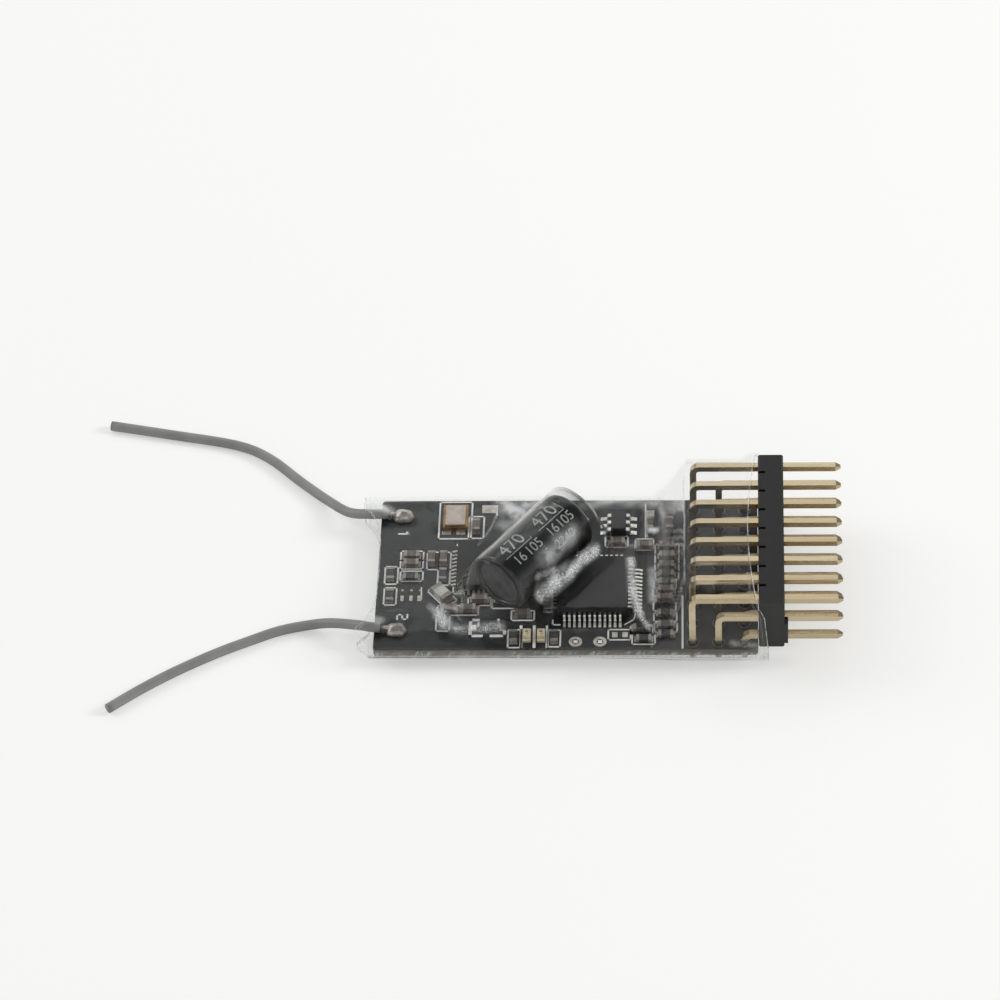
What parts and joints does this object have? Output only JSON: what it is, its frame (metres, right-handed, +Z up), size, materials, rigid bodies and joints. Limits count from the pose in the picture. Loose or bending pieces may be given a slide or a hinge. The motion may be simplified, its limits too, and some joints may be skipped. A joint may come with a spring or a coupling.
{
  "type": "rc receiver",
  "caption": "Small radio control receiver: a bare circuit board with a right-angle pin header and antenna leads in a clear heat-shrink sleeve.",
  "frame": {"origin": "centre of the footprint of the board, sleeve and pins, on the underside of the sleeve; the two antenna leads are not counted", "axes": "+X along the board, from the antenna end towards the pin tips; +Y from the edge with the two status lights to the other long edge; +Z up, through the chip side"},
  "size_m": [0.075, 0.0397, 0.0104],
  "materials": {
    "board_mask": "satin",
    "header_plastic": "moulded satin",
    "pin_metal": "gold flash",
    "solder": "bright solder",
    "chip_body": "fine matte",
    "crystal_ceramic": "ceramic with a gold rim",
    "crystal_metal": "plated lid",
    "can_metal": "bare",
    "can_sleeve": "glossy shrink skin",
    "bung_rubber": "matte",
    "tinned_wire": "tinned",
    "light_lens": "milky",
    "filter_ceramic": "ceramic",
    "capacitor_ceramic": "fired ceramic",
    "resistor_glaze": "glazed",
    "antenna_jacket": "soft satin",
    "clear_sleeve": "clear and glossy"
  },
  "bodies": {
    "root": {"circuit_board": "board_mask", "header_block": "header_plastic", "pin_solder": "solder", "main_controller": "chip_body", "radio_chip": "chip_body", "crystal_base": "crystal_ceramic", "crystal_lid": "crystal_metal", "regulator": "chip_body", "capacitor_can": "can_metal", "capacitor_sleeve": "can_sleeve", "capacitor_bung": "bung_rubber", "capacitor_lead_1": "tinned_wire", "capacitor_lead_2": "tinned_wire", "status_light_1": "light_lens", "status_light_2": "light_lens", "band_filter": "filter_ceramic", "diode": "chip_body", "ceramic_capacitors": "capacitor_ceramic", "chip_resistors": "resistor_glaze", "antenna_joint_1": "solder", "antenna_joint_2": "solder", "antenna_lead_1": "antenna_jacket", "antenna_lead_2": "antenna_jacket", "heat_shrink_sleeve": "clear_sleeve", "ground_pin_1": "pin_metal", "ground_pin_2": "pin_metal", "ground_pin_3": "pin_metal", "ground_pin_4": "pin_metal", "ground_pin_5": "pin_metal", "ground_pin_6": "pin_metal", "ground_pin_7": "pin_metal", "ground_pin_8": "pin_metal", "power_pin_1": "pin_metal", "power_pin_2": "pin_metal", "power_pin_3": "pin_metal", "power_pin_4": "pin_metal", "power_pin_5": "pin_metal", "power_pin_6": "pin_metal", "power_pin_7": "pin_metal", "power_pin_8": "pin_metal", "signal_pin_1": "pin_metal", "signal_pin_2": "pin_metal", "signal_pin_3": "pin_metal", "signal_pin_4": "pin_metal", "signal_pin_5": "pin_metal", "signal_pin_6": "pin_metal", "signal_pin_7": "pin_metal", "signal_pin_8": "pin_metal"}
  },
  "joints": []
}
